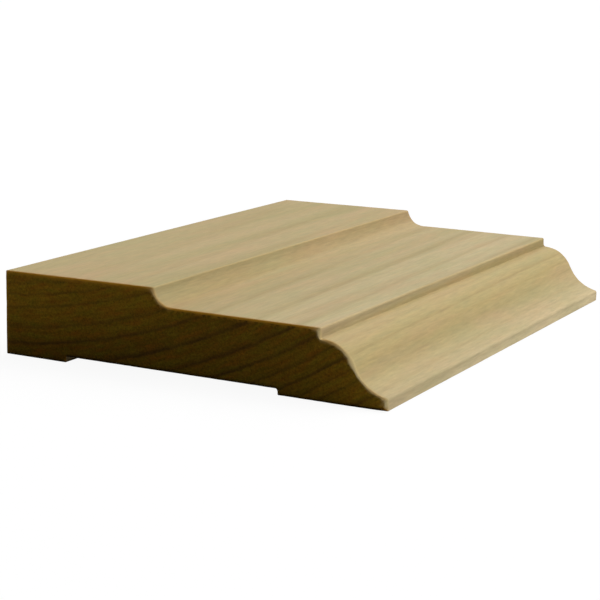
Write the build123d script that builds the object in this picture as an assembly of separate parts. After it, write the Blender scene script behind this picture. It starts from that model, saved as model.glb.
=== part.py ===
from build123d import *

import os
from math import cos, radians, sin, sqrt

# Colonial casing moulding: a short length of solid wooden door and window trim, lying on its back.
# It is one machined piece. A single section is drawn across X and Z and run along Y:
# thick edge at -X, thin edge at +X, moulded face up, relieved back on Z = 0.
# The origin is the middle of the back, where the bounding box meets Z = 0.
# All sizes are in millimetres.

# Overall sizes
length = 125.0
width = 88.9
thickness = 18.25

# Band: the raised flat, which rises a little from the thick edge to the cove that drops to the field
band_width = 36.5
band_rise = 0.3
band_drop = 3.75
cove_radius = 4.3
band_round = 0.4

# Field: the lower flat, which ends in a square quirk above the ogee
ogee_width = 14.55
quirk_drop = 2.15
field_round = 0.4

# Ogee: a round bead that turns into a hollow and runs out to the lip
ledge_width = 0.6
bead_radius = 7.3
lip_thickness = 2.45
lip_slope = 8.4
lip_round = 0.5

# Back: a shallow relief between two flat pads, so that the back bridges uneven work
thick_pad_width = 15.2
thin_pad_width = 23.6
relief_depth = 1.27


def hollow_of_ogee(bead_centre, lip):
    """Centre and radius of the hollow that touches the bead and meets the lip at its slope."""
    up = Vector(sin(radians(lip_slope)), cos(radians(lip_slope)))
    reach = lip - bead_centre
    radius = (reach.dot(reach) - bead_radius**2) / (2 * (bead_radius - reach.dot(up)))
    return lip + up * radius, radius


def arc_about(centre, radius, start, end):
    """Arc about a centre, given by where it starts and ends; it takes the shorter way round."""
    bisector = ((start - centre).normalized() + (end - centre).normalized()).normalized()
    return ThreePointArc(start, centre + bisector * radius, end)


def casing_section():
    """The closed outline of the moulding, with X across the work and Y up from its back."""
    thick_edge = -width / 2
    thin_edge = width / 2
    field = thickness - band_drop
    ledge = field - quirk_drop

    cove_run = sqrt(cove_radius**2 - (cove_radius - band_drop) ** 2)
    cove_head = Vector(thick_edge + band_width, thickness)
    cove_foot = Vector(cove_head.X + cove_run, field)
    cove_centre = Vector(cove_foot.X, field + cove_radius)

    quirk_head = Vector(thin_edge - ogee_width, field)
    quirk_foot = Vector(quirk_head.X, ledge)
    bead_start = Vector(quirk_foot.X + ledge_width, ledge)
    bead_centre = Vector(bead_start.X, ledge - bead_radius)
    lip = Vector(thin_edge, lip_thickness)
    hollow_centre, hollow_radius = hollow_of_ogee(bead_centre, lip)
    bead_end = bead_centre + (hollow_centre - bead_centre).normalized() * bead_radius

    relief_start = thick_edge + thick_pad_width
    relief_end = thin_edge - thin_pad_width

    outline = [
        Polyline((thick_edge, 0), (thick_edge, thickness - band_rise), cove_head),
        arc_about(cove_centre, cove_radius, cove_head, cove_foot),
        Polyline(cove_foot, quirk_head, quirk_foot, bead_start),
        arc_about(bead_centre, bead_radius, bead_start, bead_end),
        arc_about(hollow_centre, hollow_radius, bead_end, lip),
        Polyline(
            lip,
            (thin_edge, 0),
            (relief_end, 0),
            (relief_end, relief_depth),
            (relief_start, relief_depth),
            (relief_start, 0),
            (thick_edge, 0),
        ),
    ]
    section = make_face(Curve() + outline)
    for corner, radius in ((cove_head, band_round), (quirk_head, field_round), (lip, lip_round)):
        section = fillet(section.vertices().sort_by_distance(corner)[0], radius)
    return section


def colonial_casing():
    """The section run along the whole length, half to each side of the origin."""
    return extrude(Plane.XZ * casing_section(), amount=length / 2, both=True)


os.makedirs("parts", exist_ok=True)
export_step(colonial_casing(), "parts/colonial_casing.step")
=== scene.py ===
"""Looks of the colonial casing moulding: a planed length of poplar with two sawn ends.

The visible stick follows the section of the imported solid, with its arrises eased and its ends sawn.
Its wood is one pattern of growth rings in three dimensions, so that the ring lines on the ends
run on as streaks along the faces. Lengths are in metres, or in millimetres where a name ends in mm.
"""

from bisect import bisect_right
from collections import namedtuple
from math import ceil, cos, pi, radians, sin, tan

import bmesh
import bpy
from mathutils import Matrix, Vector, noise
from mathutils.geometry import delaunay_2d_cdt


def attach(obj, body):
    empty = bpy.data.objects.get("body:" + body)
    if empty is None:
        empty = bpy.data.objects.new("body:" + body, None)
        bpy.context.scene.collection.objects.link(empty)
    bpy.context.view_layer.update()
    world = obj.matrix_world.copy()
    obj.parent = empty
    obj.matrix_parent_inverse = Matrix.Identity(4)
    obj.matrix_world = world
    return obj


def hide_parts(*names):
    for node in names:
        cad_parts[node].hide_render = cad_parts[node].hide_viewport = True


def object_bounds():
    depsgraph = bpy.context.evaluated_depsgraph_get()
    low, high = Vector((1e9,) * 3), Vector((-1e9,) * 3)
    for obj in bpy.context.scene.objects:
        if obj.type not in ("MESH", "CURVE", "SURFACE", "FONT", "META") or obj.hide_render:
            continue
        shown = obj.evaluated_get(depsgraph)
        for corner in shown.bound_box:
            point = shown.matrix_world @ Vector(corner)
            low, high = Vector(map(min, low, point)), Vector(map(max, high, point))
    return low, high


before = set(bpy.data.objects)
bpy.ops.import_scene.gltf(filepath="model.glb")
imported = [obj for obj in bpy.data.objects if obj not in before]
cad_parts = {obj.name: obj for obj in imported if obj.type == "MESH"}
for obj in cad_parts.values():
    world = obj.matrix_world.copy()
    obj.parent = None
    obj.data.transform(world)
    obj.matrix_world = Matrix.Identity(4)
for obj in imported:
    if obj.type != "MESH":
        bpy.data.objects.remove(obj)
cad_low, cad_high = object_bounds()

MM = 0.001
NODE = "colonial_casing"
SAWN = "sawn"
EDGE = "edge"

# A point of the stick's surface: how sawn the wood is there, from 0 to 1, and what its sawn arris met,
# from -1 where it faces down and takes a painted contact shadow, through 0 where it is scuffed, with a
# painted orange glow of backlit fibres, to 1 where the blade tore its fibres, painted paler still against
# the shade there
Spot = namedtuple("Spot", "place sawn edge")

# A pattern in the wood: the size of its blobs in millimetres across, along and through the stick,
# how strongly it shows, and how detailed and rough its noise is
Pattern = namedtuple("Pattern", "size_mm gain detail roughness", defaults=(2.0, 0.5))

# Eased arrises along the stick
planed_arris = 0.20 * MM
planed_unevenness = 0.35
planed_wander = 14 * MM
arris_steps = 6
sharp_turn = radians(25)

# Arrises along the stick that carry a painted highlight, where the eased arris catches the light, tinted
# warm
# as if rubbed by handling: the outline bends outwards there, in a small round.
# The shares say how far they take the colours of a sawn arris, and which of these
rubbed_highlight_round = 0.45 * MM
rubbed_highlight_share = 0.11
rubbed_highlight_edge = 0.55

# Arrises round the sawn ends: keen along the back and the thick edge, worn above and at the lip.
# The blade left the near end at its thin side, and broke the arris more there
sawn_arris = 0.42 * MM
sawn_raggedness = 0.55
sawn_wander = 1.1 * MM
sawn_breakout = 0.75
corner_wear = 1.2 * MM
corner_breakout = 0.3
breakout_run = 70 * MM
keen_share = 0.35
worn_height = 8 * MM
lip_run = 9 * MM
wear_samples = 6

# How far the arris counts as sawn wood, where it leaves the planed side and where it meets the end,
# and how much more where it is torn, or less where it faces down and takes the painted contact shadow
side_sawn_share = 0.14
rim_sawn_share = 0.85
rim_edge_share = 0.09

# Spacing of the stick's mesh
longest_side = 1.2 * MM
row_spacing = 1.6 * MM
end_grid = 0.7 * MM

# How close points are to count as lying on the end or as being the same, and how finely they are rounded
on_end = 0.001 * MM
same_place = 0.0001 * MM
same_corner = 1e-9
key_digits = 7

# What the triangulation gives back: the triangles inside the outline
INSIDE_OUTLINE = 1

# Saw marks on the ends: shallow arcs left by the blade
blade_centre = Vector((-0.060, 0.120))
saw_pitch = 2.3 * MM
saw_depth = 0.025 * MM
saw_wander = 20 * MM
saw_wobble = 2.0

# Growth rings: the pith ran along the stick, above its moulded face and off its thick edge,
# and rose a little from the near end to the far one
pith_x_mm = -54.0
pith_z_mm = 154.4
pith_rise = 0.022

# Where each ring ends, by distance from the pith in millimetres, and how strong its late wood is
RINGS = (
    (134.0, 0.30), (138.3, 0.40), (140.6, 0.50), (143.2, 0.50), (147.5, 0.55), (150.9, 0.85), (155.4, 1.00),
    (159.8, 0.90), (163.3, 0.85), (166.6, 0.50), (169.6, 0.90), (172.2, 0.45), (174.6, 0.55), (178.4, 0.60),
    (182.0, 0.15), (186.0, 0.50),
)
nearest_pith_mm = RINGS[0][0]
farthest_pith_mm = RINGS[-1][0]

# How dark a ring is, from where it starts to where it ends
RING_PROFILE = (
    (0.00, 0.70), (0.05, 0.20), (0.11, 0.02), (0.55, 0.06),
    (0.78, 0.32), (0.88, 0.82), (0.95, 1.00), (1.00, 0.70),
)

# Waves of the rings, and how their late wood comes and goes
BROAD_WAVE = Pattern((24, 150, 24), 1.0, detail=1.0)
SMALL_WAVE = Pattern((3.5, 45, 3.5), 1.0, detail=4.0, roughness=0.6)
FADE = Pattern((7, 60, 7), 1.6)

# Patterns of the planed faces
STREAK = Pattern((6, 170, 6), 2.2)
BLUSH = Pattern((5, 28, 5), 1.6)
FLECK = Pattern((1.2, 9, 1.2), 1.0, detail=3.0, roughness=0.6)
FIBRE = Pattern((0.42, 5, 0.42), 0.46, detail=3.0, roughness=0.65)
late_face_share = 0.26

# Patterns of the sawn ends; patches and layers are sized by radius, length and width
PATCH = Pattern((1.5, 30, 5), 3.0, detail=3.0, roughness=0.6)
LAYER = Pattern((0.5, 40, 9), 0.65)
PORE = Pattern((0.40, 4, 0.40), 1.5, detail=3.0, roughness=0.7)
late_end_share = 0.80

# How sawn an arris is where its own colour is whole, and where the colour of the end starts and is whole
arris_line_whole = 0.45
cut_start = 0.72
cut_whole = 0.96

# Surface: roughness with its variation, and the relief that shows as bump
planed_roughness = 0.68
planed_roughness_gain = 0.25
sawn_roughness = 0.88
sawn_roughness_gain = 0.20
late_ridge = 0.35
bump_strength = 0.6

# Camera, as the photograph was taken
image_width_px = 600
focal_length_px = 1723.2
camera_place = Vector((0.17491, -0.34930, 0.08599))
camera_forward = Vector((-0.45274, 0.86860, -0.20142))
camera_right = Vector((0.88473, 0.46569, 0.01961))
camera_near = 0.01

# Studio light: one long lamp above and behind, and an even sky
lamp_place = Vector((0.75, 1.40, 2.00))
lamp_length = 5.0
lamp_width = 2.4
lamp_watts = 109.0
sky_light = 0.12

# Floor: what the camera sees is mostly glow, with a little lit white that takes the shadow.
# The moulding gets the bounce instead
floor_reach = 6.0
floor_drop = 0.02 * MM
floor_glow = 0.93
floor_white = 0.085
floor_bounce = 0.60


def srgb(red, green, blue):
    """A colour from the 0 to 255 values that a screen shows."""
    shares = [value / 255 for value in (red, green, blue)]
    linear = [s / 12.92 if s <= 0.04045 else ((s + 0.055) / 1.055) ** 2.4 for s in shares]
    return (*linear, 1.0)


def grey(value):
    """A neutral colour."""
    return (value, value, value, 1.0)


# Tones of the planed wood by distance from the pith in millimetres: broad belts, paler towards the bark
FACE_TONES = (
    (142.5, srgb(188, 169, 126)),
    (146.5, srgb(179, 158, 110)),
    (150.5, srgb(190, 172, 130)),
    (163.0, srgb(201, 186, 145)),
    (164.5, srgb(194, 174, 125)),
    (172.5, srgb(199, 178, 124)),
    (180.0, srgb(194, 178, 137)),
    (183.0, srgb(232, 214, 170)),
)

# Tones of the sawn ends, likewise
END_TONES = (
    (138.0, srgb(126, 95, 22)),
    (145.0, srgb(122, 92, 21)),
    (152.5, srgb(102, 76, 17)),
    (167.0, srgb(114, 86, 20)),
    (178.0, srgb(134, 101, 23)),
)

# Tints of the planed wood, olive and pinkish, and the brown of its late wood
STREAK_TINTS = (srgb(168, 155, 108), srgb(202, 176, 136))
BLUSH_TINTS = (srgb(178, 172, 124), srgb(202, 167, 130))
FLECK_TINTS = (srgb(172, 163, 122), srgb(206, 174, 124))
LATE_FACE = srgb(150, 122, 76)

# Tints of the sawn ends, olive and reddish, and the dark brown of their late wood
PATCH_TINTS = (srgb(108, 96, 22), srgb(126, 76, 18))
LATE_END = srgb(72, 50, 20)

# Colours of the sawn arrises: near black along the back, a painted contact shadow; scuffed orange above,
# partly a painted glow of backlit fibres; pale where the blade came out and tore the fibres, painted paler
# still to make up for the shade on that strip. Between the last two lies the painted highlight of the
# rubbed arrises
EDGE_COLOURS = (
    (-1.0, srgb(12, 7, 3)),
    (0.0, srgb(176, 124, 34)),
    (1.0, srgb(242, 220, 162)),
)


class Nodes:
    """Adds nodes to a node tree and links them."""

    def __init__(self, tree):
        tree.nodes.clear()
        self.tree = tree

    def add(self, kind, inputs=None, **settings):
        """A node, with each of its inputs set to a value or linked to another node's output."""
        made = self.tree.nodes.new("ShaderNode" + kind)
        for name, value in settings.items():
            setattr(made, name, value)
        for key, value in (inputs or {}).items():
            if isinstance(value, bpy.types.NodeSocket):
                self.tree.links.new(value, made.inputs[key])
            else:
                made.inputs[key].default_value = value
        return made

    def math(self, operation, *values):
        """A number worked out from one, two or three others."""
        return self.add("Math", dict(enumerate(values)), operation=operation).outputs[0]

    def mix(self, share, first, second, blend="MIX"):
        """Two colours mixed by a share from 0 to 1."""
        inputs = {0: share, 6: first, 7: second}
        return self.add("Mix", inputs, data_type="RGBA", blend_type=blend).outputs[2]

    def noise(self, place_mm, pattern):
        """A pattern's noise about zero, from -0.5 to 0.5."""
        scale = [1 / size for size in pattern.size_mm]
        stretched = self.add("VectorMath", {0: place_mm, 1: scale}, operation="MULTIPLY").outputs[0]
        fineness = {"Detail": pattern.detail, "Roughness": pattern.roughness}
        inputs = {"Vector": stretched, "Scale": 1.0, **fineness}
        return self.math("SUBTRACT", self.add("TexNoise", inputs).outputs[0], 0.5)

    def ramp(self, value, stops, low=0.0, high=1.0):
        """A colour that follows stops of (value, colour) as the value goes from low to high."""
        share = self.add("MapRange", {0: value, 1: low, 2: high}).outputs[0]
        made = self.add("ValToRGB", {0: share})
        elements = made.color_ramp.elements
        while len(elements) < len(stops):
            elements.new(0.5)
        for element, (stop, colour) in zip(elements, stops):
            element.position = (stop - low) / (high - low)
            element.color = colour
        return made.outputs[0]

    def veer(self, colour, place_mm, pattern, tints):
        """A colour that goes towards one tint where a pattern is high, and another where it is low."""
        height = self.noise(place_mm, pattern)
        high, low = tints
        colour = self.mix(self.math("MULTIPLY", height, pattern.gain), colour, high)
        return self.mix(self.math("MULTIPLY", height, -pattern.gain), colour, low)

    def shade(self, colour, height, gain):
        """A colour made lighter where a pattern is high and darker where it is low."""
        tone = self.math("MULTIPLY_ADD", height, gain, 1.0)
        neutral = self.add("CombineColor", dict.fromkeys(range(3), tone)).outputs[0]
        return self.mix(1.0, colour, neutral, blend="MULTIPLY")

    def curve(self, value, stops, low=0.0, high=1.0):
        """A number that follows stops of (value, number) as the value goes from low to high."""
        greys = [(stop, grey(number)) for stop, number in stops]
        return self.ramp(value, greys, low, high)

    def seen(self):
        """One for a ray that shows the background: to the camera, in a reflection or through glass."""
        path = self.add("LightPath").outputs
        mirrored = self.math("MAXIMUM", path["Is Glossy Ray"], path["Is Transmission Ray"])
        return self.math("MAXIMUM", path["Is Camera Ray"], mirrored)


def solid_outline():
    """The solid's section at its near end, as points in X and Z that run anticlockwise."""
    near = cad_low.y + on_end
    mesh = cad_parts[NODE].data
    sides = set()
    for face in mesh.polygons:
        points = [mesh.vertices[index].co for index in face.vertices]
        if max(point.y for point in points) < near:
            keys = [(round(point.x, key_digits), round(point.z, key_digits)) for point in points]
            sides.update(zip(keys, keys[1:] + keys[:1]))
    following = {start: end for start, end in sides if (end, start) not in sides}
    outline = [min(following)]
    while following[outline[-1]] != outline[0]:
        outline.append(following[outline[-1]])
    return [Vector(point) for point in outline]


def neighbours(outline):
    """Each point of a closed outline, with the one before it and the one after it."""
    return zip(outline[-1:] + outline[:-1], outline, outline[1:] + outline[:1])


def eased(outline, along):
    """The outline with its sharp corners turned into small arcs, a little uneven along the stick."""
    points = []
    for before, corner, after in neighbours(outline):
        arriving = (corner - before).normalized()
        leaving = (after - corner).normalized()
        turn = arriving.angle(leaving)
        if turn < sharp_turn:
            points.append(corner)
            continue
        wander = noise.noise(Vector((corner.x, along, corner.y)) / planed_wander)
        cut = planed_arris * (1 + planed_unevenness * wander) * tan(turn / 2)
        start = corner - arriving * cut
        end = corner + leaving * cut
        for step in range(arris_steps + 1):
            share = step / arris_steps
            points.append(start.lerp(corner, share).lerp(corner.lerp(end, share), share))
    return points


def refined(outline):
    """The outline with its long straight sides split, and held close to their ends."""
    points = []
    for start, end in zip(outline, outline[1:] + outline[:1]):
        points.append(start)
        length = (end - start).length
        if length > longest_side:
            hold = planed_arris / length
            parts = ceil(length / longest_side)
            shares = [hold, *(part / parts for part in range(1, parts)), 1 - hold]
            points.extend(start.lerp(end, share) for share in shares)
    return points


def outward(outline):
    """Each point of an outline with the direction that faces out of it."""
    for before, point, after in neighbours(outline):
        run = (after - before).normalized()
        yield point, Vector((run.y, -run.x))


def saw_mark(point):
    """How deep the saw cut below the end's highest marks at a point of it."""
    reach = (point - blade_centre).length
    wobble = saw_wobble * noise.noise((point / saw_wander).to_3d())
    return saw_depth * (1 + sin(2 * pi * reach / saw_pitch + wobble)) / 2


def breakout_share(point, facing):
    """From 0 where the blade entered the near end to 1 where it left it and tore the fibres."""
    return min((point.x - cad_low.x) / breakout_run, 1.0) if facing < 0 else 0.0


def exposure(point):
    """How much of the wear an arris has had at a point of an end: all of it at the top and at the lip."""
    beside_lip = 1 - (cad_high.x - point.x) / lip_run
    return keen_share + (1 - keen_share) * min(max(point.y / worn_height, beside_lip), 1.0)


def worn(outline, facing):
    """The outline of an end with its corners worn round: each point is the mean of those about it."""
    distances = [0.0]
    for start, end in zip(outline, outline[1:] + outline[:1]):
        distances.append(distances[-1] + (end - start).length)

    def place_at(distance):
        distance %= distances[-1]
        index = bisect_right(distances, distance) - 1
        share = (distance - distances[index]) / (distances[index + 1] - distances[index])
        return outline[index].lerp(outline[(index + 1) % len(outline)], share)

    points = []
    for point, distance in zip(outline, distances):
        reach = corner_wear * exposure(point) * (1 + corner_breakout * breakout_share(point, facing))
        steps = range(-wear_samples, wear_samples + 1)
        around = [place_at(distance + reach * step / wear_samples) for step in steps]
        points.append(sum(around, Vector((0.0, 0.0))) / len(around))
    return points


def broken_arris(point, out, facing):
    """How far the saw broke the arris at a point of one end."""
    ragged = noise.noise(Vector((point.x, facing * cad_high.y, point.y)) / sawn_wander)
    breakout = sawn_breakout * max(out.x, 0.0) * breakout_share(point, facing)
    keenness = (1 - keen_share) * max(-out.x, 0.0)
    return sawn_arris * exposure(point) * (1 + breakout - keenness) * (1 + sawn_raggedness * ragged)


def arris_rows(outline, facing):
    """Rows that round the sawn arris over, from the side of the stick to its end."""
    kept = []
    for point, out in outward(worn(outline, facing)):
        # The edge runs to -1 where the arris faces the floor, for its painted contact shadow, and to 1
        # where the blade tore the fibres, whose colour is painted paler against the shade
        edge = max(out.x, 0.0) * breakout_share(point, facing) - max(-out.y, 0.0)
        arris = broken_arris(point, out, facing)
        kept.append((point - out * arris, arris, edge))
    rows = []
    for step in range(arris_steps + 1):
        angle = radians(90) * step / arris_steps
        row = []
        for point, (inner, arris, edge) in zip(outline, kept):
            rim = rim_sawn_share + rim_edge_share * edge
            sawn = side_sawn_share + (rim - side_sawn_share) * step / arris_steps
            drawn_in = point.lerp(inner, 1 - cos(angle))
            along = cad_high.y - saw_mark(drawn_in) - arris * (1 - sin(angle))
            row.append(Spot(Vector((drawn_in.x, facing * along, drawn_in.y)), sawn, edge))
        rows.append(row)
    return rows


def side_row(outline, along):
    """Spots round the planed sides of the stick at one place along it."""
    row = []
    for before, point, after in neighbours(refined(eased(outline, along))):
        arriving = point - before
        leaving = after - point
        reach = (arriving.length + leaving.length) / 2
        # Small convex arrises take a painted highlight, tinted warm as if rubbed by handling
        rubbed_and_highlit = arriving.cross(leaving) > 0 and reach < rubbed_highlight_round * arriving.angle(leaving)
        row.append(Spot(Vector((point.x, along, point.y)), rubbed_highlight_share if rubbed_and_highlit else 0.0, rubbed_highlight_edge))
    return row


def section_rows():
    """Rows of spots round the stick, from its near end to its far end."""
    outline = solid_outline()
    straight = cad_high.y - sawn_arris * (1 + sawn_breakout) * (1 + sawn_raggedness) - saw_depth
    count = ceil(2 * straight / row_spacing)
    rows = arris_rows(refined(eased(outline, -straight)), -1)[::-1]
    for step in range(count + 1):
        rows.append(side_row(outline, straight * (2 * step / count - 1)))
    return rows + arris_rows(refined(eased(outline, straight)), 1)


def end_points(outline):
    """Points of a grid over the end, clear of its outline."""
    low_x = min(point.x for point in outline)
    high_x = max(point.x for point in outline)
    high_z = max(point.y for point in outline)
    points = []
    for across in range(1, int((high_x - low_x) / end_grid)):
        for up in range(1, int(high_z / end_grid)):
            point = Vector((low_x + across * end_grid, up * end_grid))
            if all((point - corner).length > end_grid / 2 for corner in outline):
                points.append(point)
    return points


def end_cap(row, facing):
    """Spots and triangles of an end. Facing is -1 at the near end and 1 at the far one."""
    outline = [spot.place.xz for spot in row]
    loop = [(index, (index + 1) % len(outline)) for index in range(len(outline))]
    inputs = outline + end_points(outline)
    corners, _, triangles, sources, *_ = delaunay_2d_cdt(inputs, loop, [], INSIDE_OUTLINE, same_corner)
    spots = []
    for corner, source in zip(corners, sources):
        place = Vector((corner.x, facing * (cad_high.y - saw_mark(corner)), corner.y))
        nearest = min(row, key=lambda spot: (spot.place - place).length_squared)
        spots.append(Spot(place, nearest.sawn if min(source) < len(row) else 1.0, nearest.edge))
    if facing > 0:
        triangles = [triangle[::-1] for triangle in triangles]
    return spots, triangles


def stick_mesh():
    """The whole stick: its planed sides and its two sawn ends."""
    rows = section_rows()
    around = len(rows[0])
    spots = [spot for row in rows for spot in row]
    faces = []
    for row in range(len(rows) - 1):
        for index in range(around):
            here = row * around + index
            beside = row * around + (index + 1) % around
            faces.append((here, here + around, beside + around, beside))
    sides = len(faces)
    for row, facing in ((rows[0], -1), (rows[-1], 1)):
        end_spots, triangles = end_cap(row, facing)
        faces.extend([index + len(spots) for index in triangle] for triangle in triangles)
        spots.extend(end_spots)

    mesh = bpy.data.meshes.new("casing_stick")
    mesh.from_pydata([spot.place for spot in spots], [], faces)
    for name, values in ((SAWN, [spot.sawn for spot in spots]), (EDGE, [spot.edge for spot in spots])):
        mesh.attributes.new(name, "FLOAT", "POINT").data.foreach_set("value", values)
    for face in mesh.polygons:
        face.use_smooth = True
        face.material_index = 0 if face.index < sides else 1
    merge_seams(mesh)
    return mesh


def merge_seams(mesh):
    """Joins the points that the sides and ends share, and drops those that no face uses."""
    work = bmesh.new()
    work.from_mesh(mesh)
    bmesh.ops.remove_doubles(work, verts=work.verts, dist=same_place)
    loose = [vertex for vertex in work.verts if not vertex.link_faces]
    bmesh.ops.delete(work, geom=loose, context="VERTS")
    work.to_mesh(mesh)
    work.free()


def ring_radius(nodes, place_mm):
    """Distance from the pith in millimetres, with the waviness of grown wood."""
    x, y, z = nodes.add("SeparateXYZ", {0: place_mm}).outputs
    across = nodes.math("SUBTRACT", x, pith_x_mm)
    pith_z = nodes.math("MULTIPLY_ADD", y, pith_rise, pith_z_mm)
    below = nodes.math("SUBTRACT", z, pith_z)
    squares = nodes.math("ADD", nodes.math("POWER", across, 2.0), nodes.math("POWER", below, 2.0))
    radius = nodes.math("SQRT", squares)
    for wave in (BROAD_WAVE, SMALL_WAVE):
        radius = nodes.math("MULTIPLY_ADD", nodes.noise(place_mm, wave), wave.gain, radius)
    return radius


def ring_darkness(nodes, place_mm, radius):
    """From 0 in the early wood of a ring to 1 in the late wood that ends it, which comes and goes."""
    last = len(RINGS) - 1
    ends = [(end, number / last) for number, (end, _) in enumerate(RINGS)]
    index = nodes.math("MULTIPLY", nodes.curve(radius, ends, nearest_pith_mm, farthest_pith_mm), last)
    late = nodes.curve(nodes.math("FRACT", index), RING_PROFILE)
    strength = nodes.curve(radius, RINGS, nearest_pith_mm, farthest_pith_mm)
    fade = nodes.noise(place_mm, FADE)
    strength = nodes.math("MULTIPLY", strength, nodes.math("MULTIPLY_ADD", fade, FADE.gain, 1.0))
    return nodes.math("MULTIPLY", late, strength)


def face_colour(nodes, place_mm, radius, late):
    """Planed poplar: pale tan, with olive and pinkish streaks that follow the rings."""
    colour = nodes.ramp(radius, FACE_TONES, nearest_pith_mm, farthest_pith_mm)
    colour = nodes.veer(colour, place_mm, STREAK, STREAK_TINTS)
    colour = nodes.veer(colour, place_mm, BLUSH, BLUSH_TINTS)
    colour = nodes.veer(colour, place_mm, FLECK, FLECK_TINTS)
    colour = nodes.mix(nodes.math("MULTIPLY", late, late_face_share), colour, LATE_FACE)
    fibre = nodes.noise(place_mm, FIBRE)
    return nodes.shade(colour, fibre, FIBRE.gain), fibre


def end_colour(nodes, place_mm, radius, late):
    """Sawn end grain: dark brown, mottled in thin layers, with darker ring lines and open pores."""
    x, y, _ = nodes.add("SeparateXYZ", {0: place_mm}).outputs
    round_pith = nodes.add("CombineXYZ", {0: radius, 1: y, 2: x}).outputs[0]
    colour = nodes.ramp(radius, END_TONES, nearest_pith_mm, farthest_pith_mm)
    colour = nodes.veer(colour, round_pith, PATCH, PATCH_TINTS)
    layers = nodes.noise(round_pith, LAYER)
    colour = nodes.shade(colour, layers, LAYER.gain)
    colour = nodes.mix(nodes.math("MULTIPLY", late, late_end_share), colour, LATE_END)
    pores = nodes.noise(place_mm, PORE)
    return nodes.shade(colour, pores, PORE.gain), pores


def arris_colour(nodes, sawn_share, planed, sawn):
    """The planed and the sawn colour, with the line of the arris between them: a painted contact shadow
    below, scuffed wood with a painted backlit glow above, torn wood painted paler against its shade, and on
    the sides the painted highlight of the rubbed arrises.
    """
    edge = nodes.add("Attribute", attribute_name=EDGE).outputs["Fac"]
    line = nodes.ramp(edge, EDGE_COLOURS, low=-1.0, high=1.0)
    arris_line_share = nodes.add("MapRange", {0: sawn_share, 1: 0.0, 2: arris_line_whole}).outputs[0]
    colour = nodes.mix(arris_line_share, planed, line)
    cut = nodes.add("MapRange", {0: sawn_share, 1: cut_start, 2: cut_whole}).outputs[0]
    return nodes.mix(cut, colour, sawn)


def poplar(name, gloss, bump_mm):
    """Poplar, by its gloss and by the depth of its relief in millimetres."""
    material = bpy.data.materials.new(name)
    material.use_nodes = True
    nodes = Nodes(material.node_tree)
    place = nodes.add("TexCoord").outputs["Object"]
    place_mm = nodes.add("VectorMath", {0: place, "Scale": 1 / MM}, operation="SCALE").outputs[0]
    radius = ring_radius(nodes, place_mm)
    late = ring_darkness(nodes, place_mm, radius)
    planed, fibre = face_colour(nodes, place_mm, radius, late)
    sawn, pores = end_colour(nodes, place_mm, radius, late)
    sawn_share = nodes.add("Attribute", attribute_name=SAWN).outputs["Fac"]

    smooth = nodes.math("MULTIPLY_ADD", fibre, planed_roughness_gain, planed_roughness)
    coarse = nodes.math("MULTIPLY_ADD", pores, sawn_roughness_gain, sawn_roughness)
    roughness = nodes.add("Mix", {0: sawn_share, 2: smooth, 3: coarse}).outputs[0]
    ridges = nodes.math("MULTIPLY_ADD", late, late_ridge, fibre)
    height = nodes.add("Mix", {0: sawn_share, 2: ridges, 3: pores}).outputs[0]
    relief = {"Strength": bump_strength, "Distance": bump_mm * MM, "Height": height}
    bump = nodes.add("Bump", relief).outputs[0]

    colour = arris_colour(nodes, sawn_share, planed, sawn)
    inputs = {"Base Color": colour, "Roughness": roughness, "Normal": bump, "Specular IOR Level": gloss}
    shader = nodes.add("BsdfPrincipled", inputs).outputs[0]
    nodes.add("OutputMaterial", {0: shader})
    return material


def make_stick():
    """The moulding itself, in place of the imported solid."""
    stick = bpy.data.objects.new("casing_stick", stick_mesh())
    bpy.context.scene.collection.objects.link(stick)
    stick.data.materials.append(poplar("poplar_planed", gloss=0.05, bump_mm=0.05))
    stick.data.materials.append(poplar("poplar_sawn", gloss=0.02, bump_mm=0.12))
    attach(stick, "root")
    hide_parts(NODE)


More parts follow.
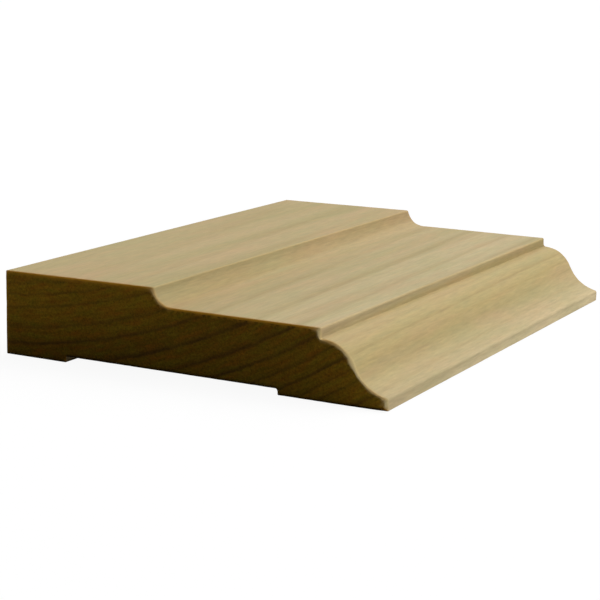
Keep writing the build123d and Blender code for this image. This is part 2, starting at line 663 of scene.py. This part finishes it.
def make_floor():
    """A plain pale floor that keeps the moulding's shadow."""
    mesh = bpy.data.meshes.new("floor")
    signs = ((-1, -1), (1, -1), (1, 1), (-1, 1))
    corners = [(x * floor_reach, y * floor_reach, -floor_drop) for x, y in signs]
    mesh.from_pydata(corners, [], [(0, 1, 2, 3)])
    material = bpy.data.materials.new("floor_white")
    material.use_nodes = True
    nodes = Nodes(material.node_tree)
    glow = nodes.add("Emission", {"Strength": floor_glow}).outputs[0]
    lit = nodes.add("BsdfDiffuse", {"Color": grey(floor_white)}).outputs[0]
    shown = nodes.add("AddShader", {0: glow, 1: lit}).outputs[0]
    bounce = nodes.add("BsdfDiffuse", {"Color": grey(floor_bounce)}).outputs[0]
    shader = nodes.add("MixShader", {0: nodes.seen(), 1: bounce, 2: shown}).outputs[0]
    nodes.add("OutputMaterial", {0: shader})
    mesh.materials.append(material)
    floor = bpy.data.objects.new("floor", mesh)
    bpy.context.scene.collection.objects.link(floor)


def make_light():
    """One wide soft lamp that faces the moulding, with a weak even sky."""
    lamp = bpy.data.objects.new("lamp", bpy.data.lights.new("lamp", "AREA"))
    lamp.data.energy = lamp_watts
    lamp.data.shape = "RECTANGLE"
    lamp.data.size = lamp_length
    lamp.data.size_y = lamp_width
    lamp.location = lamp_place
    lamp.rotation_mode = "QUATERNION"
    lamp.rotation_quaternion = lamp_place.to_track_quat("Z", "Y")
    bpy.context.scene.collection.objects.link(lamp)

    world = bpy.data.worlds.new("studio")
    world.use_nodes = True
    nodes = Nodes(world.node_tree)
    sky = nodes.add("Background", {"Color": grey(1.0), "Strength": sky_light}).outputs[0]
    white = nodes.add("Background", {"Color": grey(1.0), "Strength": 1.0}).outputs[0]
    shader = nodes.add("MixShader", {0: nodes.seen(), 1: sky, 2: white}).outputs[0]
    nodes.add("OutputWorld", {0: shader})
    bpy.context.scene.world = world


def make_camera():
    """The photograph's camera, which was held with a slight roll."""
    camera = bpy.data.objects.new("camera", bpy.data.cameras.new("camera"))
    camera.data.lens = focal_length_px / image_width_px * camera.data.sensor_width
    camera.data.clip_start = camera_near
    up = camera_right.cross(camera_forward)
    turn = Matrix((camera_right, up, -camera_forward)).transposed().to_4x4()
    camera.matrix_world = Matrix.Translation(camera_place) @ turn
    bpy.context.scene.collection.objects.link(camera)
    bpy.context.scene.camera = camera


make_stick()
make_floor()
make_light()
make_camera()
bpy.context.scene.view_settings.view_transform = "Standard"
